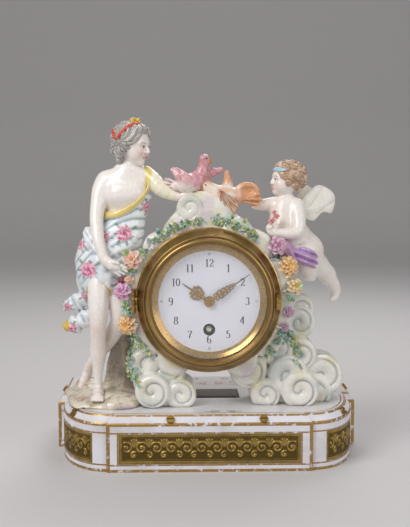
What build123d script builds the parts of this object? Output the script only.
from build123d import *
from math import atan2, cos, degrees, pi, radians, sin, sqrt
import os

os.makedirs("parts", exist_ok=True)

# Driving dimensions of the plinth, in millimetres
plinth_width = 281.0
plinth_depth = 170.0
plinth_height = 42.0
front_half = 89.5
front_step = 3.0
side_front = -2.3
side_step = 6.0
carcass_wall = 14.0
board_thick = 6.0
board_rise = 2.0
cornice_rise = 7.0
cornice_run = 5.0
cornice_reveal = 0.5
slab_inset = 6.8
slab_thick = 7.6
slab_gap = 0.3
panel_thick = 1.2
panel_sunk = 0.4
panel_low = 7.0
panel_high = 33.5
panel_half = 78.5
corner_panel_start = 14.0
corner_panel_end = 74.0
stud_head_radius = 3.6
stud_head_high = 2.0
stud_lift = 0.25
stud_shank_radius = 1.5
stud_shank_long = 2.4
stud_slot_wide = 1.0
stud_taper = 5.5
slot_wide = 41.0
slot_deep = 38.0
slot_x = 9.5
slot_y = 1.0

# Driving dimensions of the drum, the bezel and the dial
dial_z = 145.5
dial_radius = 49.5
dial_thick = 1.5
dial_front = -61.5
sight_radius = 44.6
sight_out_radius = 50.0
sight_high = 4.0
drum_radius = 60.0
drum_wall = 1.5
drum_front = -52.0
drum_back = -6.0
flange_radius = 64.3
flange_thick = 3.0
door_radius = 63.3
door_gap = 0.3
door_front = -72.0
door_wall = 1.6
glass_radius = 52.0
glass_thick = 1.4
glass_back = -67.2
lip_radius = 50.5
knuckle_radius = 1.7
pin_radius = 0.8
pin_clearance = 0.05
knuckle_long = 7.0
knuckle_count = 3
knuckle_gap = 0.3
hinge_out = 2.9
hinge_ahead = 2.5
cover_thick = 2.0
cover_dome = 3.0
winder_drop = 25.0
winder_hole_radius = 5.3

# Driving dimensions of the movement
plate_thick = 2.0
front_plate_front = -55.0
pillar_long = 26.0
back_plate_radius = 46.0
pillar_radius = 3.0
pillar_circle = 39.0
arbor_radius = 1.0
pivot_clearance = 0.05
wheel_thick = 1.2
pinion_long = 3.0
third_pinion_long = 1.8
great_rise = 18.5
intermediate_rise = 23.5
centre_rise = 2.0
third_rise = 10.0
escape_rise = 18.0
balance_rise = 13.0
mesh_gap = 0.10
barrel_drum_radius = 19.5
barrel_drum_long = 13.0
winder_radius = 2.4
square_side = 3.2
ratchet_radius = 8.0
balance_radius = 10.5
balance_rim = 1.6

# Driving dimensions of the porcelain group
lady_height = 250.0
lady_at = (-85.0, -20.0, 54.0)
cherub_height = 125.0
cherub_at = (80.0, -20.0, 180.0)
dove_length = 50.0
collar_radius = 72.0
collar_deep = 34.0
bank_deep = 56.0
flower_thick = 2.6
leaf_thick = 1.4
overrun = 1.0


# Placing helpers: front planes look along -Y, with X to the right and Z up
def front_plane(y, x=0.0, z=dial_z):
    return Plane((x, y, z), x_dir=(1, 0, 0), z_dir=(0, -1, 0))


def turned_ring(points):
    """A ring turned about the dial axis from (radius, y) points."""
    with BuildSketch(Plane((0, 0, dial_z), x_dir=(1, 0, 0), z_dir=(0, 0, 1))) as section:
        with BuildLine():
            Polyline(*points, close=True)
        make_face()
    revolve(section.sketch, axis=Axis((0, 0, dial_z), (0, 1, 0)))


def scaled_point(at, size, share):
    """A place given as shares of a figure's size from its own datum."""
    return Vector(*(a + size * s for a, s in zip(at, share)))


def limb(points, radii, side=(0, 1, 0), cap_share=0.72):
    """A limb lofted through circles square to its path, drawn in at both ends."""
    ends = [points[0] + (points[0] - points[1]).normalized() * radii[0] * cap_share]
    ends.append(points[-1] + (points[-1] - points[-2]).normalized() * radii[-1] * cap_share)
    path = [ends[0], *points, ends[1]]
    sizes = [radii[0] * cap_share, *radii, radii[-1] * cap_share]
    sections = []
    for i, (point, radius) in enumerate(zip(path, sizes)):
        along = path[min(i + 1, len(path) - 1)] - path[max(i - 1, 0)]
        with BuildSketch(Plane(point, x_dir=along.cross(Vector(*side)), z_dir=along)) as section:
            Circle(radius)
        sections.append(section.sketch)
    loft(sections)


egg_level_shares = (-0.95, -0.72, -0.35, 0.05, 0.45, 0.78, 0.96)


def egg(center, long_radius, wide_radius, high_radius, turn=0.0):
    """An egg lofted through level ellipses, its long axis turned about Z."""
    sections = []
    for level in egg_level_shares:
        ring = sqrt(1 - level * level)
        with BuildSketch(Plane(center + Vector(0, 0, level * high_radius))) as section:
            Ellipse(long_radius * ring, wide_radius * ring, rotation=turn)
        sections.append(section.sketch)
    loft(sections)


def figure_egg(at, size, shares, turn):
    """An egg of a figure: its place and its three radii as shares of the figure's size."""
    egg(scaled_point(at, size, shares[:3]), *(size * share for share in shares[3:]), turn)


def finish(name, piece):
    piece.part.label = name
    export_step(piece.part, f"parts/{name}.step")


# Plinth plan: straight front, elliptical corners set back behind it, side blocks to a flat back
plinth_half = plinth_width / 2
front_y = -plinth_depth / 2
back_y = plinth_depth / 2
corner_x_radius = plinth_half - side_step - front_half
corner_y_radius = plinth_depth / 2 - front_step + side_front
corner_center = (front_half, side_front)


def plinth_plan(inset):
    """The plinth's outline, drawn in all round by the inset."""
    with BuildLine() as plan:
        Polyline(
            (0, back_y - inset),
            (plinth_half - inset, back_y - inset),
            (plinth_half - inset, side_front + inset),
            (plinth_half - side_step - inset, side_front + inset),
            (plinth_half - side_step - inset, side_front),
        )
        EllipticalCenterArc(corner_center, corner_x_radius - inset, corner_y_radius - inset, -90)
        Polyline(
            (front_half, front_y + front_step + inset),
            (front_half - inset, front_y + front_step + inset),
            (front_half - inset, front_y + inset),
            (0, front_y + inset),
        )
        mirror(about=Plane.YZ)
    make_face(plan.edges())


def corner_strip(outer_inset, inner_inset):
    """The curved strip of the right corner that a brass panel covers."""
    sweep_angle = corner_panel_end - corner_panel_start
    with BuildLine() as strip:
        arcs = []
        for inset in (outer_inset, inner_inset):
            x_radius = corner_x_radius - inset
            y_radius = corner_y_radius - inset
            start = -corner_panel_end
            arcs.append(EllipticalCenterArc(corner_center, x_radius, y_radius, start, arc_size=sweep_angle))
        Line(arcs[0] @ 0, arcs[1] @ 0)
        Line(arcs[0] @ 1, arcs[1] @ 1)
    make_face(strip.edges())


panel_seat = panel_sunk + panel_thick
panel_tall = panel_high - panel_low
panel_mid = panel_low + panel_tall / 2

# Plinth carcass: hollow painted wood with a sunk field for each brass panel
with BuildPart() as plinth_carcass:
    with BuildSketch():
        plinth_plan(cornice_reveal)
    extrude(amount=plinth_height)
    with BuildSketch():
        plinth_plan(carcass_wall)
    extrude(amount=plinth_height, mode=Mode.SUBTRACT)
    with BuildSketch(front_plane(front_y + cornice_reveal + panel_seat, 0, panel_mid)):
        Rectangle(2 * panel_half, panel_tall)
    extrude(amount=panel_seat + overrun, mode=Mode.SUBTRACT)
    with BuildSketch(Plane.XY.offset(panel_low)):
        corner_strip(-overrun, cornice_reveal + panel_seat)
        mirror(about=Plane.YZ)
    extrude(amount=panel_tall, mode=Mode.SUBTRACT)
finish("plinth_carcass", plinth_carcass)

# Brass panels let into the front and the two round corners
with BuildPart() as front_panel:
    with BuildSketch(front_plane(front_y + cornice_reveal + panel_seat, 0, panel_mid)):
        Rectangle(2 * panel_half, panel_tall)
    extrude(amount=panel_thick)
finish("front_panel", front_panel)

with BuildPart() as right_corner_panel:
    with BuildSketch(Plane.XY.offset(panel_low)):
        corner_strip(cornice_reveal + panel_sunk, cornice_reveal + panel_seat)
    extrude(amount=panel_tall)
finish("right_corner_panel", right_corner_panel)

with BuildPart() as left_corner_panel:
    add(right_corner_panel.part.mirror(Plane.YZ))
finish("left_corner_panel", left_corner_panel)

# Bottom board let into the carcass
with BuildPart() as plinth_bottom_board:
    with BuildSketch(Plane.XY.offset(board_rise)):
        plinth_plan(carcass_wall)
    extrude(amount=board_thick)
finish("plinth_bottom_board", plinth_bottom_board)

# Cornice: a sloped frame round the slab, drilled for its studs
cornice_top = plinth_height + cornice_rise
slope_angle = 90 - Vector(cornice_run, cornice_rise).get_angle(Vector(1, 0))
corner_stud_share = 0.5
side_stud_share = 0.52
front_stud_shares = (-0.38, 0.52)
slope_mid = cornice_reveal + cornice_run / 2
stud_corner_x = front_half + (corner_x_radius - slope_mid) * cos(pi / 2 * corner_stud_share)
stud_corner_y = side_front - (corner_y_radius - slope_mid) * sin(pi / 2 * corner_stud_share)
stud_side_y = side_front + (back_y - side_front) * side_stud_share
stud_level = plinth_height + cornice_rise / 2


def stud_planes():
    """Planes on the slope of the cornice, each with its normal square to the slope."""
    out = cornice_rise
    up = cornice_run
    corner_out = Vector(stud_corner_x - front_half, 0) / corner_x_radius**2
    corner_out += Vector(0, stud_corner_y - side_front) / corner_y_radius**2
    corner_out = corner_out.normalized()
    places = [((front_half * share, front_y + slope_mid), Vector(0, -1)) for share in front_stud_shares]
    for hand in (-1, 1):
        places.append(((hand * stud_corner_x, stud_corner_y), Vector(hand * corner_out.X, corner_out.Y)))
        places.append(((hand * (plinth_half - slope_mid), stud_side_y), Vector(hand, 0)))
        places.append(((hand * front_half, back_y - slope_mid), Vector(0, 1)))
    planes = []
    for (x, y), way in places:
        normal = Vector(way.X * out, way.Y * out, up)
        along = Vector(-way.Y, way.X, 0)
        planes.append(Plane((x, y, stud_level), x_dir=along, z_dir=normal))
    return planes


with BuildPart() as plinth_cornice:
    with BuildSketch(Plane.XY.offset(plinth_height)):
        plinth_plan(cornice_reveal)
    with BuildSketch(Plane.XY.offset(cornice_top)):
        plinth_plan(cornice_reveal + cornice_run)
    loft(ruled=True)
    with BuildSketch(Plane.XY.offset(plinth_height)):
        plinth_plan(slab_inset)
    extrude(amount=cornice_rise, mode=Mode.SUBTRACT)
    for plane in stud_planes():
        with BuildSketch(plane.offset(-stud_shank_long)):
            Circle(stud_shank_radius + pin_clearance)
        extrude(amount=stud_shank_long + overrun, mode=Mode.SUBTRACT)
finish("plinth_cornice", plinth_cornice)

# Slotted brass studs that hold the cornice
with BuildPart() as cornice_studs:
    for plane in stud_planes():
        with BuildSketch(plane.offset(stud_lift)):
            Circle(stud_head_radius)
        extrude(amount=stud_head_high, taper=stud_taper)
        with BuildSketch(plane.offset(-stud_shank_long)):
            Circle(stud_shank_radius)
        extrude(amount=stud_shank_long + stud_head_high / 2)
        with BuildSketch(plane.offset(stud_head_high / 2)):
            Rectangle(2 * stud_head_radius, stud_slot_wide)
        extrude(amount=stud_head_high, mode=Mode.SUBTRACT)
finish("cornice_studs", cornice_studs)

# Porcelain slab, carried on the carcass inside the cornice, with a slot under the drum
slab_top = plinth_height + slab_thick
with BuildPart() as group_slab:
    with BuildSketch(Plane.XY.offset(plinth_height)):
        plinth_plan(slab_inset + slab_gap)
    extrude(amount=slab_thick)
    with BuildSketch(Plane.XY.offset(plinth_height)):
        with Locations((slot_x, slot_y)):
            Rectangle(slot_wide, slot_deep)
    extrude(amount=slab_thick, mode=Mode.SUBTRACT)
finish("group_slab", group_slab)

# Cloud collar: a scalloped ring round the drum, with the knob that carries the doves
collar_front = drum_front
collar_back = collar_front + collar_deep
scallop_angles = (-62, -36, -8, 20, 48, 66, 114, 134, 160, 186, 214, 240)
scallop_radius_share = 0.22
scallop_circle_share = 0.86
knob_back_share = 0.62
knob_axis_y = collar_front + collar_deep * knob_back_share
knob_level_shares = (0.86, 0.98, 1.10, 1.20, 1.27, 1.31)
knob_wide_shares = (0.46, 0.42, 0.37, 0.33, 0.26, 0.12)
knob_deep_share = 0.62

with BuildPart() as cloud_collar:
    with BuildSketch(front_plane(collar_back)):
        Circle(collar_radius * scallop_circle_share)
        for angle in scallop_angles:
            with PolarLocations(collar_radius * scallop_circle_share, 1, start_angle=angle):
                Circle(collar_radius * scallop_radius_share)
    extrude(amount=collar_deep)
    for level, wide in zip(knob_level_shares, knob_wide_shares):
        with BuildSketch(Plane((0, knob_axis_y, dial_z + collar_radius * level))):
            Ellipse(collar_radius * wide, collar_radius * wide * knob_deep_share)
    loft()
    with BuildSketch(front_plane(collar_back)):
        Circle(drum_radius + slab_gap)
    extrude(amount=collar_deep, mode=Mode.SUBTRACT)
finish("cloud_collar", cloud_collar)
collar_reach = collar_radius * (scallop_circle_share + scallop_radius_share)


# Cloud scrolls: round cushions with a sunk ring and a raised eye, facing forward
scroll_profile_shares = (
    (0.0, 0.10), (0.30, 0.10), (0.40, -0.06), (0.52, -0.10),
    (0.60, 0.06), (0.78, 0.02), (0.93, 0.16), (1.0, 0.42),
)


def scroll(x, z, radius, front, back):
    """One scroll turned about an axis along Y, between its front and its back."""
    points = [(radius * r, front + radius * y) for r, y in scroll_profile_shares]
    points += [(radius, back), (0, back)]
    with BuildSketch(Plane((x, 0, z), x_dir=(1, 0, 0), z_dir=(0, 0, 1))) as section:
        with BuildLine():
            Polyline(*points, close=True)
        make_face()
    revolve(section.sketch, axis=Axis((x, 0, z), (0, 1, 0)))


def cloud_bank(scrolls):
    """Scrolls given as shares of the bezel radius from the dial centre, trimmed to slab and collar."""
    for x, z, radius, front, deep in scrolls:
        start = front * flange_radius
        level = dial_z + z * flange_radius
        scroll(x * flange_radius, level, radius * flange_radius, start, start + deep * bank_deep)
    with BuildSketch(front_plane(collar_back)) as collar_room:
        Circle(collar_reach)
    extrude(collar_room.sketch, amount=collar_deep, mode=Mode.SUBTRACT)
    with BuildSketch(front_plane(bank_deep)) as drum_room:
        Circle(drum_radius + slab_gap)
    extrude(drum_room.sketch, amount=2 * bank_deep, mode=Mode.SUBTRACT)
    split(bisect_by=Plane.XY.offset(slab_top), keep=Keep.TOP)


left_scroll_shares = (
    (-0.62, -1.02, 0.30, -0.81, 1.0), (-0.78, -1.26, 0.24, -0.96, 0.9), (-0.39, -1.33, 0.22, -0.87, 0.8),
    (-0.86, -0.96, 0.26, -0.66, 0.9), (-0.62, -1.38, 0.22, -0.84, 1.0),
)
right_scroll_shares = (
    (0.56, -1.0, 0.27, -0.75, 0.8), (0.95, -0.72, 0.24, -0.70, 0.8), (0.80, -1.34, 0.22, -0.78, 0.8),
    (1.11, -1.07, 0.28, -0.81, 0.9), (1.29, -0.80, 0.24, -0.66, 0.8), (1.27, -1.27, 0.27, -0.87, 0.9),
    (1.62, -1.13, 0.30, -0.62, 0.8), (1.28, -0.36, 0.24, -0.60, 0.7), (1.30, -0.16, 0.20, -0.54, 0.6),
    (1.02, -1.38, 0.24, -0.70, 0.9), (1.48, -1.36, 0.28, -0.62, 0.9), (0.84, -1.06, 0.24, -0.62, 0.7),
)
with BuildPart() as cloud_left:
    cloud_bank(left_scroll_shares)
finish("cloud_left", cloud_left)

with BuildPart() as cloud_right:
    cloud_bank(right_scroll_shares)
finish("cloud_right", cloud_right)

# Lady: places and radii as shares of the figure's height from a datum under the hips
lady_turn = -35


def lady(*share):
    return scaled_point(lady_at, lady_height, share)


def lady_limb(places, side=(0, 1, 0)):
    """A limb of the lady from (x, y, z, radius) shares."""
    limb([lady(*place[:3]) for place in places], [place[3] * lady_height for place in places], side)


torso_shares = (
    (0.045, 0.010, 0.830, 0.045, 0.034),
    (0.042, 0.010, 0.806, 0.082, 0.046),
    (0.042, 0.006, 0.768, 0.090, 0.058),
    (0.044, 0.002, 0.728, 0.086, 0.061),
    (0.044, 0.008, 0.680, 0.074, 0.050),
    (0.030, 0.008, 0.640, 0.076, 0.052),
    (0.000, 0.004, 0.584, 0.102, 0.066),
    (-0.022, 0.000, 0.520, 0.109, 0.080),
    (-0.030, -0.008, 0.456, 0.101, 0.080),
    (-0.036, -0.016, 0.400, 0.078, 0.070),
)
neck_shares = ((0.056, 0.010, 0.812, 0.030), (0.064, 0.004, 0.850, 0.028))
head_shares = (0.072, -0.004, 0.912, 0.066, 0.054, 0.074)
crown_shares = (0.048, 0.010, 0.930, 0.068, 0.064, 0.068)
nape_shares = (0.030, 0.020, 0.890, 0.044, 0.046, 0.042)


def lady_torso():
    """The draped trunk, lofted through level ellipses from the hem to the neck."""
    sections = []
    for x, y, z, wide, deep in reversed(torso_shares):
        with BuildSketch(Plane(lady(x, y, z))) as section:
            Ellipse(wide * lady_height, deep * lady_height)
        sections.append(section.sketch)
    loft(sections)


# The hem of the drapery runs from under the right arm up to the left shoulder
hem_low = lady(-0.024, 0.0, 0.668)
hem_high = lady(0.134, 0.0, 0.772)
hem_rise = hem_high - hem_low
hem_plane = Plane(hem_low, x_dir=(0, 1, 0), z_dir=(-hem_rise.Z, 0, hem_rise.X))

with BuildPart() as lady_bust:
    lady_torso()
    split(bisect_by=hem_plane, keep=Keep.TOP)
    lady_limb(neck_shares)
    figure_egg(lady_at, lady_height, head_shares, lady_turn)
finish("lady_bust", lady_bust)

with BuildPart() as lady_hair:
    figure_egg(lady_at, lady_height, crown_shares, lady_turn)
    figure_egg(lady_at, lady_height, nape_shares, lady_turn)
    add(lady_bust.part, mode=Mode.SUBTRACT)
finish("lady_hair", lady_hair)

with BuildPart() as lady_drapery:
    lady_torso()
    split(bisect_by=hem_plane, keep=Keep.BOTTOM)
    add(cloud_collar.part, mode=Mode.SUBTRACT)
finish("lady_drapery", lady_drapery)

# Her arms and legs
right_arm_shares = (
    (-0.044, 0.002, 0.786, 0.034), (-0.058, -0.020, 0.710, 0.028), (-0.060, -0.060, 0.640, 0.026),
    (-0.048, -0.096, 0.570, 0.021), (-0.030, -0.112, 0.512, 0.017), (0.006, -0.120, 0.492, 0.013),
    (0.034, -0.122, 0.484, 0.008),
)
left_arm_shares = (
    (0.124, 0.012, 0.818, 0.032), (0.150, -0.010, 0.784, 0.032), (0.178, -0.026, 0.752, 0.029),
    (0.212, -0.030, 0.732, 0.020), (0.234, -0.030, 0.726, 0.014),
)
right_leg_shares = (
    (-0.050, -0.040, 0.460, 0.046), (-0.054, -0.088, 0.350, 0.038), (-0.054, -0.098, 0.252, 0.032),
    (-0.054, -0.084, 0.166, 0.027), (-0.058, -0.066, 0.090, 0.018), (-0.058, -0.062, 0.048, 0.018),
)
right_foot_shares = (
    (-0.058, -0.050, 0.020, 0.017), (-0.058, -0.078, 0.018, 0.018), (-0.058, -0.104, 0.013, 0.012),
)
left_leg_shares = (
    (-0.010, -0.020, 0.440, 0.046), (0.016, -0.054, 0.360, 0.040), (0.024, -0.062, 0.288, 0.034),
    (-0.030, -0.010, 0.200, 0.028), (-0.096, 0.066, 0.106, 0.018), (-0.112, 0.088, 0.070, 0.016),
)
left_foot_shares = (
    (-0.112, 0.096, 0.060, 0.016), (-0.120, 0.076, 0.036, 0.016), (-0.126, 0.056, 0.018, 0.010),
)

with BuildPart() as lady_right_arm:
    lady_limb(right_arm_shares)
    add(lady_bust.part, mode=Mode.SUBTRACT)
    add(lady_drapery.part, mode=Mode.SUBTRACT)
finish("lady_right_arm", lady_right_arm)

with BuildPart() as lady_left_arm:
    lady_limb(left_arm_shares)
    add(lady_bust.part, mode=Mode.SUBTRACT)
    add(lady_drapery.part, mode=Mode.SUBTRACT)
    add(cloud_collar.part, mode=Mode.SUBTRACT)
finish("lady_left_arm", lady_left_arm)

with BuildPart() as lady_right_leg:
    lady_limb(right_leg_shares)
    lady_limb(right_foot_shares, (1, 0, 0))
    add(lady_drapery.part, mode=Mode.SUBTRACT)
finish("lady_right_leg", lady_right_leg)

with BuildPart() as lady_left_leg:
    lady_limb(left_leg_shares)
    lady_limb(left_foot_shares, (1, 0, 0))
    add(cloud_collar.part, mode=Mode.SUBTRACT)
    add(lady_drapery.part, mode=Mode.SUBTRACT)
    add(lady_right_leg.part, mode=Mode.SUBTRACT)
finish("lady_left_leg", lady_left_leg)

# Loose end of the drapery, blown out to the left behind the hips
tail_shares = (
    (-0.110, 0.020, 0.420, 0.020, 0.036),
    (-0.130, 0.040, 0.370, 0.022, 0.042),
    (-0.150, 0.060, 0.316, 0.020, 0.050),
    (-0.164, 0.076, 0.276, 0.012, 0.052),
)
tail_across = (0.6, 0.5, 0.6)
tail_along = (-0.7, 0.35, -0.62)
with BuildPart() as drapery_tail:
    for x, y, z, thick, wide in tail_shares:
        with BuildSketch(Plane(lady(x, y, z), x_dir=tail_across, z_dir=tail_along)):
            Ellipse(thick * lady_height, wide * lady_height)
    loft()
    add(lady_drapery.part, mode=Mode.SUBTRACT)
    add(lady_left_leg.part, mode=Mode.SUBTRACT)
    add(lady_right_leg.part, mode=Mode.SUBTRACT)
finish("drapery_tail", drapery_tail)

# Rocky mound under the lady's feet, with a stump behind her legs
mound_shares = ((0.0, 0.172, 0.172), (0.012, 0.164, 0.160), (0.026, 0.140, 0.122), (0.036, 0.086, 0.070))
mound_at = lady(-0.064, 0.010, 0.0)
stump_shares = (
    (0.008, 0.045, 0.004, 0.058), (0.012, 0.040, 0.090, 0.048), (0.020, 0.020, 0.190, 0.034),
    (0.028, 0.004, 0.230, 0.022),
)
with BuildPart() as rock_mound:
    for rise, wide, deep in mound_shares:
        with BuildSketch(Plane((mound_at.X, mound_at.Y, slab_top + rise * lady_height))):
            Ellipse(wide * lady_height, deep * lady_height)
    loft()
    lady_limb(stump_shares)
    for piece in (cloud_left, lady_right_leg, lady_left_leg):
        add(piece.part, mode=Mode.SUBTRACT)
    with BuildSketch(Plane.XY.offset(slab_top)):
        plinth_plan(slab_inset + slab_gap)
    extrude(amount=lady_height, mode=Mode.INTERSECT)
finish("rock_mound", rock_mound)


# Cherub: places and radii as shares of the figure's own height
def cherub(*share):
    return scaled_point(cherub_at, cherub_height, share)


def cherub_limb(places, side=(0, 1, 0)):
    """A limb of the cherub from (x, y, z, radius) shares."""
    limb([cherub(*place[:3]) for place in places], [place[3] * cherub_height for place in places], side)


cherub_torso_shares = (
    (-0.080, 0.000, 0.430, 0.050), (-0.076, 0.000, 0.390, 0.112), (-0.076, -0.004, 0.330, 0.124),
    (-0.056, -0.008, 0.240, 0.128), (-0.016, -0.004, 0.150, 0.144), (0.040, 0.020, 0.060, 0.144),
    (0.090, 0.040, 0.000, 0.118),
)
cherub_far_leg_shares = (
    (0.090, 0.050, 0.020, 0.104), (0.160, 0.090, -0.040, 0.088), (0.220, 0.128, -0.084, 0.072),
    (0.280, 0.160, -0.150, 0.058), (0.326, 0.176, -0.226, 0.040), (0.330, 0.180, -0.260, 0.036),
    (0.312, 0.172, -0.300, 0.028),
)
cherub_near_leg_shares = (
    (0.060, -0.040, 0.030, 0.100), (0.080, -0.070, -0.050, 0.078), (0.086, -0.040, -0.110, 0.056),
    (0.100, 0.010, -0.128, 0.040),
)
cherub_far_arm_shares = (
    (-0.130, 0.020, 0.390, 0.056), (-0.190, 0.004, 0.392, 0.046), (-0.250, -0.016, 0.390, 0.040),
)
cherub_near_arm_shares = (
    (0.006, -0.060, 0.390, 0.068), (0.010, -0.120, 0.290, 0.058), (-0.004, -0.160, 0.196, 0.050),
    (-0.090, -0.170, 0.184, 0.044), (-0.176, -0.164, 0.186, 0.034),
)
cherub_face_turn = 20
cherub_head_shares = (-0.064, 0.0, 0.560, 0.136, 0.116, 0.136)
cherub_curl_shares = (-0.028, 0.012, 0.584, 0.136, 0.128, 0.124)
with BuildPart() as cherub_body:
    cherub_limb(cherub_torso_shares)
    cherub_limb(cherub_far_leg_shares)
    cherub_limb(cherub_near_leg_shares)
    cherub_limb(cherub_far_arm_shares)
    cherub_limb(cherub_near_arm_shares)
    figure_egg(cherub_at, cherub_height, cherub_head_shares, cherub_face_turn)
    add(cloud_collar.part, mode=Mode.SUBTRACT)
    add(cloud_right.part, mode=Mode.SUBTRACT)
finish("cherub_body", cherub_body)

with BuildPart() as cherub_hair:
    figure_egg(cherub_at, cherub_height, cherub_curl_shares, cherub_face_turn)
    add(cherub_body.part, mode=Mode.SUBTRACT)
finish("cherub_hair", cherub_hair)

wing_outline_shares = (
    (0.0, 0.0), (0.02, 0.12), (0.14, 0.20), (0.27, 0.13), (0.25, 0.0), (0.17, 0.0), (0.09, -0.06),
)
wing_points = [(x * cherub_height, z * cherub_height) for x, z in wing_outline_shares]
wing_root_shares = ((0.040, 0.02, 0.330), (0.000, 0.07, 0.330))
wing_leans = (18, 50)
wing_thick_share = 0.028
with BuildPart() as cherub_wings:
    for root, lean in zip(wing_root_shares, wing_leans):
        across = Vector(cos(radians(lean)), sin(radians(lean)), 0)
        with BuildSketch(Plane(cherub(*root), x_dir=across, z_dir=across.rotate(Axis.Z, -90))):
            with BuildLine():
                Spline(*wing_points, periodic=True)
            make_face()
        extrude(amount=wing_thick_share * cherub_height)
    add(cherub_body.part, mode=Mode.SUBTRACT)
    add(cherub_hair.part, mode=Mode.SUBTRACT)
finish("cherub_wings", cherub_wings)

sash_shares = (
    (-0.010, -0.130, 0.040, 0.060), (0.050, -0.140, -0.010, 0.070), (0.090, -0.100, -0.050, 0.050),
)
with BuildPart() as cherub_sash:
    cherub_limb(sash_shares)
    add(cherub_body.part, mode=Mode.SUBTRACT)
    add(cloud_collar.part, mode=Mode.SUBTRACT)
    add(cloud_right.part, mode=Mode.SUBTRACT)
finish("cherub_sash", cherub_sash)


# Doves: body, head, wings and tail as lofted limbs, in shares of the bird's length
def dove_limb(at, places, side=(0, 1, 0)):
    points = [scaled_point(at, dove_length, place[:3]) for place in places]
    limb(points, [place[3] * dove_length for place in places], side)


pink_at = (-17.0, -28.0, 247.0)
pink_dove_shares = (
    (
        (-0.24, 0.0, -0.02, 0.09), (-0.06, 0.0, 0.02, 0.17), (0.14, 0.0, 0.06, 0.16),
        (0.24, 0.0, 0.24, 0.11), (0.27, 0.0, 0.40, 0.10),
    ),
    ((-0.30, -0.06, 0.26, 0.05), (-0.18, -0.08, 0.14, 0.08), (0.02, -0.08, 0.06, 0.08)),
    ((0.58, 0.06, 0.26, 0.05), (0.44, 0.08, 0.22, 0.08), (0.20, 0.08, 0.10, 0.08)),
    ((-0.30, 0.0, -0.06, 0.07), (-0.16, 0.0, -0.02, 0.08)),
)
orange_at = (14.0, -30.0, 234.0)
orange_dove_shares = (
    (
        (0.24, 0.0, 0.04, 0.12), (0.04, 0.0, 0.06, 0.18), (-0.16, 0.0, 0.10, 0.15),
        (-0.28, 0.0, 0.22, 0.10), (-0.31, 0.0, 0.25, 0.09),
    ),
    ((0.10, -0.14, -0.22, 0.08), (0.02, -0.16, -0.02, 0.12), (-0.08, -0.14, 0.10, 0.10)),
    ((0.06, 0.06, 0.44, 0.06), (0.08, 0.06, 0.28, 0.09), (0.06, 0.04, 0.12, 0.10)),
    ((0.56, 0.04, 0.08, 0.14), (0.40, 0.02, 0.04, 0.12), (0.22, 0.0, 0.04, 0.10)),
)
with BuildPart() as pink_dove:
    for places in pink_dove_shares:
        dove_limb(pink_at, places)
    for piece in (cloud_collar, lady_left_arm):
        add(piece.part, mode=Mode.SUBTRACT)
finish("pink_dove", pink_dove)

with BuildPart() as orange_dove:
    for places in orange_dove_shares:
        dove_limb(orange_at, places)
    for piece in (cloud_collar, pink_dove, cherub_body):
        add(piece.part, mode=Mode.SUBTRACT)
finish("orange_dove", orange_dove)


# Applied flowers: a disc, a ring of petals and an eye, set on the front of the collar
def flower(angle, reach, radius, petals):
    """One flower on the collar, at an angle and a radius from the dial centre."""
    x = reach * collar_radius * cos(radians(angle))
    z = dial_z + reach * collar_radius * sin(radians(angle))
    petal = radius * collar_radius
    base = front_plane(collar_front, x, z)
    with BuildSketch(base) as petal_ring:
        Circle(petal * petal_disc_share)
        with PolarLocations(petal * petal_reach_share, petals):
            Ellipse(petal * petal_long_share, petal * petal_wide_share)
    extrude(petal_ring.sketch, amount=flower_thick)
    with BuildSketch(base.offset(flower_thick)) as eye:
        Circle(petal * flower_eye_share)
    extrude(eye.sketch, amount=flower_thick / 2)


petal_disc_share = 0.5
petal_reach_share = 0.58
petal_long_share = 0.42
petal_wide_share = 0.24
flower_eye_share = 0.34
left_flower_shares = (
    (137, 0.97, 0.055, 8), (152, 1.03, 0.10, 6), (174, 1.03, 0.10, 7),
    (197, 1.02, 0.12, 9), (165, 1.0, 0.06, 6),
)
right_flower_shares = (
    (38, 1.04, 0.12, 6), (22, 1.01, 0.11, 9), (9, 1.04, 0.08, 7),
    (-9, 0.98, 0.08, 6), (-20, 0.99, 0.06, 6),
)


def clear_of_flange():
    """Cut an applied piece back from the flange and its hinge."""
    with BuildSketch(front_plane(collar_front)) as room:
        Circle(flange_radius + slab_gap)
        with Locations((-door_radius - hinge_out, 0)):
            Rectangle(4 * knuckle_radius, 4 * knuckle_long)
    extrude(room.sketch, amount=2 * flower_thick, mode=Mode.SUBTRACT)


with BuildPart() as flowers_left:
    for angle, reach, radius, petals in left_flower_shares:
        flower(angle, reach, radius, petals)
    clear_of_flange()
    add(lady_drapery.part, mode=Mode.SUBTRACT)
    add(lady_left_leg.part, mode=Mode.SUBTRACT)
finish("flowers_left", flowers_left)

with BuildPart() as flowers_right:
    for angle, reach, radius, petals in right_flower_shares:
        flower(angle, reach, radius, petals)
    clear_of_flange()
    for piece in (cherub_body, cherub_sash, cloud_right):
        add(piece.part, mode=Mode.SUBTRACT)
finish("flowers_right", flowers_right)

# Leaf garlands on the collar between the flowers
leaf_angles = (62, 68, 74, 80, 101, 107, 113, 119, 125, 131, 144, 209, 215, 221, -27, -33, -39, 52)
leaf_reach_share = 0.955
leaf_long_share = 0.085
leaf_wide_share = 0.045
leaf_lean = 60
with BuildPart() as leaf_garlands:
    for i, angle in enumerate(leaf_angles):
        x = collar_radius * leaf_reach_share * cos(radians(angle))
        z = dial_z + collar_radius * leaf_reach_share * sin(radians(angle))
        lean = leaf_lean if i % 2 else -leaf_lean
        with BuildSketch(front_plane(collar_front, x, z)):
            Ellipse(collar_radius * leaf_long_share, collar_radius * leaf_wide_share, rotation=angle + lean)
        extrude(amount=leaf_thick)
    clear_of_flange()
    for piece in (flowers_left, flowers_right, cloud_left, cloud_right):
        add(piece.part, mode=Mode.SUBTRACT)
    for piece in (cherub_body, lady_drapery, orange_dove):
        add(piece.part, mode=Mode.SUBTRACT)
finish("leaf_garlands", leaf_garlands)

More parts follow.
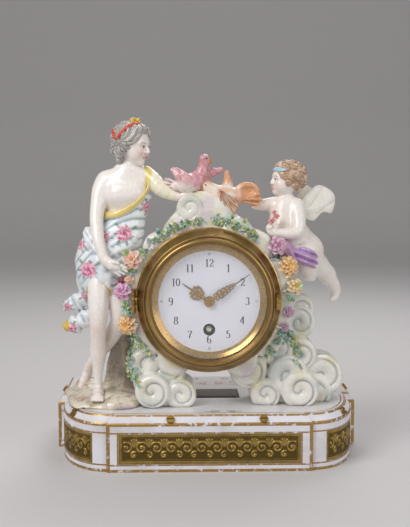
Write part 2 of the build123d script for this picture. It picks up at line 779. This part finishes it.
# Drum case: a brass tube through the collar, open at both ends
with BuildPart() as drum_case:
    with BuildSketch(front_plane(drum_back)):
        Circle(drum_radius)
        Circle(drum_radius - drum_wall, mode=Mode.SUBTRACT)
    extrude(amount=drum_back - drum_front)
finish("drum_case", drum_case)

# Hinge of the door at nine o'clock, on an upright pin
hinge_x = -(door_radius + hinge_out)
hinge_y = drum_front - flange_thick - hinge_ahead
flange_front = drum_front - flange_thick
knuckle_low = dial_z - knuckle_count * knuckle_long / 2
leaf_reach = door_radius - door_wall

# Fixed flange: the brass ring seated on the collar and the drum
with BuildPart() as bezel_flange:
    turned_ring([
        (drum_radius - drum_wall, drum_front),
        (flange_radius, drum_front),
        (flange_radius, flange_front + door_gap),
        (door_radius, flange_front),
        (drum_radius - drum_wall, flange_front),
    ])
    for i in (0, 2):
        low = knuckle_low + i * knuckle_long
        with BuildSketch(Plane((0, 0, low))):
            with Locations((hinge_x, hinge_y)):
                Circle(knuckle_radius)
            with Locations((hinge_x, (hinge_y + drum_front) / 2)):
                Rectangle(2 * knuckle_radius, drum_front - hinge_y)
            with Locations(((hinge_x - leaf_reach) / 2, drum_front - flange_thick / 2)):
                Rectangle(-hinge_x - leaf_reach + 2 * knuckle_radius, flange_thick)
            with Locations((hinge_x, hinge_y)):
                Circle(pin_radius + pin_clearance, mode=Mode.SUBTRACT)
        extrude(amount=knuckle_long - knuckle_gap)
finish("bezel_flange", bezel_flange)

# Door: a deep moulded ring with a cove, a ridge and a lip that holds the glass
door_back = flange_front - door_gap
door_deep = door_back - door_front
door_profile_shares = (
    (1.0, 0.0), (1.0, 0.10), (0.985, 0.22), (0.955, 0.36), (0.925, 0.52), (0.905, 0.70), (0.893, 0.74),
    (0.884, 0.72), (0.876, 0.86), (0.862, 0.97), (0.846, 1.0), (0.830, 0.95), (0.818, 0.86),
)
with BuildPart() as bezel_door:
    outer = [(door_radius * r, door_back - door_deep * y) for r, y in door_profile_shares]
    inner = [
        (lip_radius, glass_back - glass_thick - door_wall / 2),
        (lip_radius, glass_back - glass_thick),
        (glass_radius + pin_clearance, glass_back - glass_thick),
        (glass_radius + pin_clearance, glass_back + door_wall / 2),
        (door_radius - 2 * door_wall, door_back - door_wall),
        (door_radius - 2 * door_wall, door_back),
    ]
    turned_ring(outer + inner)
    low = knuckle_low + knuckle_long
    with BuildSketch(Plane((0, 0, low))):
        with Locations((hinge_x, hinge_y)):
            Circle(knuckle_radius)
        with Locations(((hinge_x - leaf_reach) / 2, hinge_y)):
            Rectangle(-hinge_x - leaf_reach, knuckle_radius)
        with Locations((hinge_x, hinge_y)):
            Circle(pin_radius + pin_clearance, mode=Mode.SUBTRACT)
    extrude(amount=knuckle_long - knuckle_gap)
finish("bezel_door", bezel_door)

with BuildPart() as bezel_glass:
    with BuildSketch(front_plane(glass_back)):
        Circle(glass_radius)
    extrude(amount=glass_thick)
finish("bezel_glass", bezel_glass)

# Thumb latch on the right of the door
latch_long = 14.0
latch_wide = 4.0
latch_x_share = 0.955
latch_root_share = 0.32
latch_high_share = 0.36
with BuildPart() as bezel_latch:
    with BuildSketch(front_plane(door_back - door_deep * latch_root_share, door_radius * latch_x_share)):
        RectangleRounded(latch_wide, latch_long, latch_wide / 4)
    extrude(amount=door_deep * latch_high_share)
    add(bezel_door.part, mode=Mode.SUBTRACT)
finish("bezel_latch", bezel_latch)

# Back cover: a dished brass disc on an upright hinge at the right of the drum
cover_gap = 0.3
cover_dish_share = 0.86
cover_step_share = 0.92
cover_rim_share = 0.94
cover_crown_share = 0.88
cover_hinge_x = drum_radius + hinge_out
cover_hinge_y = drum_back + cover_gap + cover_thick / 2
with BuildPart() as back_cover:
    turned_ring([
        (0, drum_back + cover_gap + cover_dome),
        (drum_radius * cover_dish_share, drum_back + cover_gap + cover_dome),
        (drum_radius * cover_step_share, drum_back + cover_gap),
        (drum_radius, drum_back + cover_gap),
        (drum_radius, drum_back + cover_gap + cover_thick),
        (drum_radius * cover_rim_share, drum_back + cover_gap + cover_thick),
        (drum_radius * cover_crown_share, drum_back + cover_gap + cover_dome + cover_thick),
        (0, drum_back + cover_gap + cover_dome + cover_thick),
    ])
    low = knuckle_low + knuckle_long
    with BuildSketch(Plane((0, 0, low))):
        with Locations((cover_hinge_x, cover_hinge_y)):
            Circle(knuckle_radius)
        with Locations(((cover_hinge_x + drum_radius - drum_wall) / 2, cover_hinge_y)):
            Rectangle(cover_hinge_x - drum_radius + drum_wall, knuckle_radius)
        with Locations((cover_hinge_x, cover_hinge_y)):
            Circle(pin_radius + pin_clearance, mode=Mode.SUBTRACT)
    extrude(amount=knuckle_long - knuckle_gap)
finish("back_cover", back_cover)

# Hinge leaf of the back cover, on the rear rim of the drum
with BuildPart() as cover_hinge_leaf:
    for i in (0, 2):
        low = knuckle_low + i * knuckle_long
        with BuildSketch(Plane((0, 0, low))):
            with Locations((cover_hinge_x, cover_hinge_y)):
                Circle(knuckle_radius)
            with Locations((cover_hinge_x, (cover_hinge_y + drum_back - knuckle_long) / 2)):
                Rectangle(2 * knuckle_radius, cover_hinge_y - drum_back + knuckle_long)
            with Locations((cover_hinge_x, cover_hinge_y)):
                Circle(pin_radius + pin_clearance, mode=Mode.SUBTRACT)
        extrude(amount=knuckle_long - knuckle_gap)
    with BuildSketch(front_plane(drum_back - knuckle_long, cover_hinge_x - hinge_out / 2)):
        Rectangle(hinge_out + 2 * knuckle_radius, knuckle_count * knuckle_long - knuckle_gap)
    extrude(amount=2 * knuckle_radius)
    with BuildSketch(front_plane(drum_back)):
        Circle(drum_radius)
    extrude(amount=collar_deep, mode=Mode.SUBTRACT)
finish("cover_hinge_leaf", cover_hinge_leaf)

with BuildPart() as hinge_pins:
    for x, y in ((hinge_x, hinge_y), (cover_hinge_x, cover_hinge_y)):
        with BuildSketch(Plane((0, 0, knuckle_low))):
            with Locations((x, y)):
                Circle(pin_radius)
        extrude(amount=knuckle_count * knuckle_long - knuckle_gap)
finish("hinge_pins", hinge_pins)


# Wheel teeth: trapezoids round a pitch circle, thin enough to run with backlash
tooth_add_share = 0.85
tooth_ded_share = 1.15
tooth_half_shares = (0.30, 0.10)


def wheel_face(teeth, module, phase):
    """A toothed outline with one tooth centred at the phase angle."""
    points = []
    pitch_radius = module * teeth / 2
    for i in range(teeth):
        middle = radians(phase + 360 * i / teeth)
        step = 2 * pi / teeth
        root, tip = tooth_half_shares
        for radius, lean in (
            (pitch_radius - tooth_ded_share * module, -root),
            (pitch_radius + tooth_add_share * module, -tip),
            (pitch_radius + tooth_add_share * module, tip),
            (pitch_radius - tooth_ded_share * module, root),
        ):
            angle = middle + lean * step
            points.append((radius * cos(angle), radius * sin(angle)))
    Polygon(*points, align=None)


def mesh_distance(teeth, pinion, module):
    return module * (teeth + pinion) / 2 + mesh_gap


# Train: barrel, intermediate, centre, third and escape arbors, as (x, z) from the dial centre
barrel_teeth = 84
intermediate_pinion = 14
intermediate_teeth = 70
centre_pinion = 14
centre_teeth = 72
third_pinion = 12
third_teeth = 60
escape_pinion = 12
escape_teeth = 12
great_module = 0.5
intermediate_module = 0.45
centre_module = 0.42
third_module = 0.38
barrel_reach = mesh_distance(barrel_teeth, intermediate_pinion, great_module)
intermediate_reach = mesh_distance(intermediate_teeth, centre_pinion, intermediate_module)
third_reach = mesh_distance(centre_teeth, third_pinion, centre_module)
escape_reach = mesh_distance(third_teeth, escape_pinion, third_module)
barrel_at = (0.0, -winder_drop)
intermediate_z = (intermediate_reach**2 - barrel_reach**2 + winder_drop**2) / (-2 * winder_drop)
intermediate_at = (sqrt(intermediate_reach**2 - intermediate_z**2), intermediate_z)
third_angle = 130
third_at = (third_reach * cos(radians(third_angle)), third_reach * sin(radians(third_angle)))
escape_angle = 40
escape_x = third_at[0] + escape_reach * cos(radians(escape_angle))
escape_at = (escape_x, third_at[1] + escape_reach * sin(radians(escape_angle)))
lever_reach = 10.5
lever_at = (escape_at[0] + lever_reach, escape_at[1])
balance_reach = 23.5
balance_at = (escape_at[0] + balance_reach, escape_at[1])


def angle_between(start, end):
    return degrees(atan2(end[1] - start[1], end[0] - start[0]))


click_radius = 2.2
click_x_share = 1.9
click_z_share = 0.8
click_at = (ratchet_radius * click_x_share, -winder_drop + ratchet_radius * click_z_share)
plate_back = front_plate_front + plate_thick
back_plate_front = plate_back + pillar_long
back_plate_back = back_plate_front + plate_thick
front_plate_radius = drum_radius - drum_wall - 2 * pin_clearance
arbor_places = (intermediate_at, third_at, escape_at, lever_at, balance_at)
pillar_angles = (20, 160, 200, 340)
pillar_places = [(pillar_circle * cos(radians(a)), pillar_circle * sin(radians(a))) for a in pillar_angles]


def plate_holes(depth_plane, thick, centre_radius):
    """Pivot holes for every arbor, cut through a plate."""
    with BuildSketch(depth_plane) as holes:
        with Locations(*arbor_places):
            Circle(arbor_radius + pivot_clearance)
        with Locations(barrel_at):
            Circle(winder_radius + pivot_clearance)
        Circle(centre_radius + pivot_clearance)
    extrude(holes.sketch, amount=thick, mode=Mode.SUBTRACT)


centre_arbor_radius = 1.5
with BuildPart() as front_plate:
    with BuildSketch(front_plane(plate_back)):
        Circle(front_plate_radius)
    extrude(amount=plate_thick)
    plate_holes(front_plane(plate_back), plate_thick, centre_arbor_radius)
finish("front_plate", front_plate)

with BuildPart() as back_plate:
    with BuildSketch(front_plane(back_plate_back)):
        Circle(back_plate_radius)
    extrude(amount=plate_thick)
    plate_holes(front_plane(back_plate_back), plate_thick, centre_arbor_radius)
    with BuildSketch(front_plane(back_plate_back)):
        with Locations(click_at):
            Circle(arbor_radius + pivot_clearance)
    extrude(amount=plate_thick, mode=Mode.SUBTRACT)
finish("back_plate", back_plate)

with BuildPart() as plate_pillars:
    with BuildSketch(front_plane(back_plate_front)):
        with Locations(*pillar_places):
            Circle(pillar_radius)
    extrude(amount=pillar_long)
finish("plate_pillars", plate_pillars)


# Wheels on their arbors: each names its place, its levels along Y and its teeth
def arbor_wheel(at, radius, start, end, toothed):
    """An arbor with wheels given as (level, thickness, teeth, module, phase, spokes)."""
    x, z = at
    for level, thick, teeth, module, phase, spokes in toothed:
        with BuildSketch(front_plane(level, x, dial_z + z)) as section:
            wheel_face(teeth, module, phase)
            if spokes:
                pitch_radius = module * teeth / 2
                with PolarLocations(pitch_radius * spoke_ring_share, spokes):
                    Circle(pitch_radius * spoke_hole_share, mode=Mode.SUBTRACT)
        extrude(section.sketch, amount=thick)
    with BuildSketch(front_plane(end, x, dial_z + z)) as rod:
        Circle(radius)
    extrude(rod.sketch, amount=end - start)


spoke_ring_share = 0.55
spoke_hole_share = 0.25
pivot_short = 0.2
arbor_start = front_plate_front + pivot_short
arbor_end = back_plate_back - pivot_short
great_level = plate_back + great_rise
intermediate_level = plate_back + intermediate_rise
centre_level = plate_back + centre_rise
third_level = plate_back + third_rise
escape_level = plate_back + escape_rise
lever_level = escape_level
balance_level = plate_back + balance_rise

great_phase = angle_between(barrel_at, intermediate_at)
intermediate_phase = angle_between(intermediate_at, (0, 0))
third_phase = angle_between(third_at, escape_at)

# Going barrel: a drum for the mainspring with the great wheel on its rear edge
with BuildPart() as barrel:
    with BuildSketch(front_plane(great_level, barrel_at[0], dial_z + barrel_at[1])):
        wheel_face(barrel_teeth, great_module, great_phase)
    extrude(amount=wheel_thick)
    with BuildSketch(front_plane(great_level - wheel_thick, barrel_at[0], dial_z + barrel_at[1])):
        Circle(barrel_drum_radius)
    extrude(amount=barrel_drum_long)
    with BuildSketch(front_plane(great_level, barrel_at[0], dial_z + barrel_at[1])):
        Circle(winder_radius + pivot_clearance)
    extrude(amount=barrel_drum_long + 2 * wheel_thick, mode=Mode.SUBTRACT)
finish("barrel", barrel)

# Winding arbor: a squared front end behind the dial hole, and the ratchet wheel at the back
ratchet_teeth = 18
square_back_share = 0.4
ratchet_module = 2 * ratchet_radius / ratchet_teeth
square_front = dial_front + dial_thick * square_back_share
ratchet_level = back_plate_back + pivot_short + wheel_thick
with BuildPart() as winding_arbor:
    with BuildSketch(front_plane(ratchet_level, barrel_at[0], dial_z + barrel_at[1])):
        Circle(winder_radius)
    extrude(amount=ratchet_level - front_plate_front + plate_thick)
    with BuildSketch(front_plane(front_plate_front - plate_thick, barrel_at[0], dial_z + barrel_at[1])):
        Rectangle(square_side, square_side)
    extrude(amount=front_plate_front - plate_thick - square_front)
    with BuildSketch(front_plane(ratchet_level, barrel_at[0], dial_z + barrel_at[1])):
        wheel_face(ratchet_teeth, ratchet_module, 90)
    extrude(amount=wheel_thick)
finish("winding_arbor", winding_arbor)

# Click: a pawl on a shouldered screw, lying clear beside the ratchet
with BuildPart() as click:
    with BuildSketch(front_plane(ratchet_level, click_at[0], dial_z + click_at[1])):
        Circle(click_radius)
        with Locations((-click_radius, -click_radius / 4)):
            Rectangle(2 * click_radius, click_radius, rotation=12)
    extrude(amount=wheel_thick)
    with BuildSketch(front_plane(ratchet_level, click_at[0], dial_z + click_at[1])):
        Circle(arbor_radius)
    extrude(amount=ratchet_level - back_plate_back + plate_thick / 2)
finish("click", click)

with BuildPart() as intermediate_wheel:
    arbor_wheel(intermediate_at, arbor_radius, arbor_start, arbor_end, (
        (great_level + wheel_thick / 2, pinion_long, intermediate_pinion, great_module,
         great_phase + 180 + 180 / intermediate_pinion, 0),
        (intermediate_level, wheel_thick, intermediate_teeth, intermediate_module, intermediate_phase, 5),
    ))
finish("intermediate_wheel", intermediate_wheel)

hand_clear = 1.0
hand_front = glass_back + hand_clear
with BuildPart() as centre_wheel:
    arbor_wheel((0, 0), centre_arbor_radius, hand_front, arbor_end, (
        (intermediate_level + wheel_thick / 2, pinion_long, centre_pinion, intermediate_module,
         intermediate_phase + 180 + 180 / centre_pinion, 0),
        (centre_level, wheel_thick, centre_teeth, centre_module, third_angle, 5),
    ))
finish("centre_wheel", centre_wheel)

with BuildPart() as third_wheel:
    arbor_wheel(third_at, arbor_radius, arbor_start, arbor_end, (
        (centre_level + wheel_thick / 4, third_pinion_long, third_pinion, centre_module,
         third_angle + 180 + 180 / third_pinion, 0),
        (third_level, wheel_thick, third_teeth, third_module, third_phase, 5),
    ))
finish("third_wheel", third_wheel)

escape_module = 1.3
with BuildPart() as escape_wheel:
    arbor_wheel(escape_at, arbor_radius, arbor_start, arbor_end, (
        (third_level + wheel_thick / 2, pinion_long, escape_pinion, third_module,
         third_phase + 180 + 180 / escape_pinion, 0),
        (escape_level, wheel_thick, escape_teeth, escape_module, 0, 0),
    ))
finish("escape_wheel", escape_wheel)

# Lever and balance, side by side with the escape wheel
lever_wide = 1.6
lever_fork_share = 0.6
pallet_span_share = 0.8
with BuildPart() as lever:
    arbor_wheel(lever_at, arbor_radius, arbor_start, arbor_end, ())
    with BuildSketch(front_plane(lever_level + 2 * wheel_thick, lever_at[0], dial_z + lever_at[1])):
        Circle(2 * arbor_radius)
        with Locations((lever_reach * lever_fork_share / 2, 0)):
            Rectangle(lever_reach * lever_fork_share, lever_wide)
        Rectangle(lever_wide, lever_reach * pallet_span_share)
    extrude(amount=wheel_thick)
finish("lever", lever)

with BuildPart() as balance_wheel:
    arbor_wheel(balance_at, arbor_radius, arbor_start, arbor_end, ())
    with BuildSketch(front_plane(balance_level, balance_at[0], dial_z + balance_at[1])):
        Circle(balance_radius)
        Circle(balance_radius - balance_rim, mode=Mode.SUBTRACT)
        Rectangle(2 * balance_radius - balance_rim, balance_rim)
        Circle(2 * arbor_radius)
    extrude(amount=wheel_thick)
finish("balance_wheel", balance_wheel)

# Motion work under the dial: cannon pinion, minute wheel and hour wheel
cannon_teeth = 12
minute_teeth = 36
minute_pinion = 10
hour_teeth = 40
cannon_module = 0.5
motion_reach = mesh_distance(minute_teeth, cannon_teeth, cannon_module)
hour_module = 2 * (motion_reach - mesh_gap) / (hour_teeth + minute_pinion)
motion_angle = 200
motion_at = (motion_reach * cos(radians(motion_angle)), motion_reach * sin(radians(motion_angle)))
motion_gap = 0.3
cannon_level = front_plate_front - motion_gap
hour_level = cannon_level - 2 * wheel_thick - motion_gap
cannon_radius = 2.2
hour_pipe_radius = 3.0
minute_hand_rise = 2.6
hour_hand_rise = 0.8
minute_hand_level = dial_front - minute_hand_rise
hour_hand_level = dial_front - hour_hand_rise
hand_thick = 0.7

with BuildPart() as cannon_pinion:
    with BuildSketch(front_plane(cannon_level)):
        wheel_face(cannon_teeth, cannon_module, motion_angle + 180 / cannon_teeth)
    extrude(amount=2 * wheel_thick)
    with BuildSketch(front_plane(cannon_level)):
        Circle(cannon_radius)
    extrude(amount=cannon_level - minute_hand_level)
    with BuildSketch(front_plane(cannon_level)):
        Circle(centre_arbor_radius)
    extrude(amount=cannon_level - minute_hand_level, mode=Mode.SUBTRACT)
finish("cannon_pinion", cannon_pinion)

with BuildPart() as minute_wheel:
    with BuildSketch(front_plane(cannon_level - wheel_thick / 2, motion_at[0], dial_z + motion_at[1])):
        wheel_face(minute_teeth, cannon_module, motion_angle + 180)
    extrude(amount=wheel_thick)
    with BuildSketch(front_plane(cannon_level - wheel_thick / 2, motion_at[0], dial_z + motion_at[1])):
        wheel_face(minute_pinion, hour_module, motion_angle + 180)
    extrude(amount=cannon_level - hour_level + wheel_thick / 2)
    with BuildSketch(front_plane(cannon_level, motion_at[0], dial_z + motion_at[1])):
        Circle(arbor_radius + pivot_clearance)
    extrude(amount=4 * wheel_thick + 2 * motion_gap, mode=Mode.SUBTRACT)
finish("minute_wheel", minute_wheel)

with BuildPart() as minute_post:
    with BuildSketch(front_plane(front_plate_front, motion_at[0], dial_z + motion_at[1])):
        Circle(arbor_radius)
    extrude(amount=front_plate_front - hour_level + wheel_thick)
finish("minute_post", minute_post)

with BuildPart() as hour_wheel:
    with BuildSketch(front_plane(hour_level)):
        wheel_face(hour_teeth, hour_module, motion_angle + 180 / hour_teeth)
    extrude(amount=wheel_thick)
    with BuildSketch(front_plane(hour_level)):
        Circle(hour_pipe_radius)
    extrude(amount=hour_level - hour_hand_level)
    with BuildSketch(front_plane(hour_level)):
        Circle(cannon_radius + pivot_clearance)
    extrude(amount=hour_level - hour_hand_level, mode=Mode.SUBTRACT)
finish("hour_wheel", hour_wheel)

# Enamel dial with its feet on the front plate, and the gilt sight ring round it
dial_back = dial_front + dial_thick
dial_foot_circle = 44.0
dial_foot_radius = 1.5
with BuildPart() as dial_plate:
    with BuildSketch(front_plane(dial_back)):
        Circle(dial_radius)
    extrude(amount=dial_thick)
    with BuildSketch(front_plane(front_plate_front)):
        with PolarLocations(dial_foot_circle, 3, start_angle=90):
            Circle(dial_foot_radius)
    extrude(amount=front_plate_front - dial_back)
    with BuildSketch(front_plane(dial_back)):
        Circle(hour_pipe_radius + 4 * pivot_clearance)
        with Locations(barrel_at):
            Circle(winder_hole_radius)
    extrude(amount=dial_thick, mode=Mode.SUBTRACT)
finish("dial_plate", dial_plate)

sight_slope_share = 0.45
with BuildPart() as sight_ring:
    turned_ring([
        (sight_radius, dial_front),
        (sight_out_radius + drum_wall, dial_front),
        (sight_out_radius + drum_wall, dial_front - sight_high),
        (sight_out_radius, dial_front - sight_high),
        (sight_radius + (sight_out_radius - sight_radius) * sight_slope_share, dial_front - sight_high / 2),
        (sight_radius, dial_front - sight_high / 4),
    ])
finish("sight_ring", sight_ring)


# Openwork hands: a boss, a pierced scroll stem and a tapering point
def hand(level, length, angle, bore, lobes, stem):
    """A hand pointing at an angle from twelve o'clock, with pierced lobes along its stem."""
    way = radians(angle)
    base = Plane((0, level, dial_z), x_dir=(sin(way), 0, cos(way)), z_dir=(0, -1, 0))
    with BuildSketch(base) as outline:
        Circle(hand_boss_radius)
        with BuildLine() as point:
            Polyline((0, stem), (length, 0), (0, -stem), close=True)
        make_face(point.edges())
        for along, across, radius in lobes:
            with Locations((along * length, across * length), (along * length, -across * length)):
                Circle(radius * length)
        for along, across, radius in lobes:
            with Locations((along * length, across * length), (along * length, -across * length)):
                Circle(radius * length * hand_pierce_share, mode=Mode.SUBTRACT)
        Circle(bore, mode=Mode.SUBTRACT)
    extrude(outline.sketch, amount=hand_thick)


hand_boss_radius = 4.6
hand_pierce_share = 0.45
collet_share = 0.7
hour_stem = 1.3
minute_stem = 1.1
hour_hand_bore = cannon_radius + pivot_clearance
hour_hand_long = 28.5
minute_hand_long = 43.0
hour_hand_angle = 304.0
minute_hand_angle = 56.0
hour_lobe_shares = ((0.34, 0.085, 0.085), (0.46, 0.13, 0.095), (0.56, 0.07, 0.08))
minute_lobe_shares = ((0.18, 0.035, 0.045), (0.27, 0.05, 0.05), (0.36, 0.04, 0.045), (0.44, 0.03, 0.035))
with BuildPart() as hour_hand:
    hand(hour_hand_level, hour_hand_long, hour_hand_angle, hour_hand_bore, hour_lobe_shares, hour_stem)
finish("hour_hand", hour_hand)

with BuildPart() as minute_hand:
    bore = centre_arbor_radius
    hand(minute_hand_level, minute_hand_long, minute_hand_angle, bore, minute_lobe_shares, minute_stem)
finish("minute_hand", minute_hand)

# Collet that pins the minute hand
with BuildPart() as hand_collet:
    with BuildSketch(front_plane(minute_hand_level - hand_thick)):
        Circle(hand_boss_radius * collet_share)
        Circle(centre_arbor_radius, mode=Mode.SUBTRACT)
    extrude(amount=hand_thick)
finish("hand_collet", hand_collet)
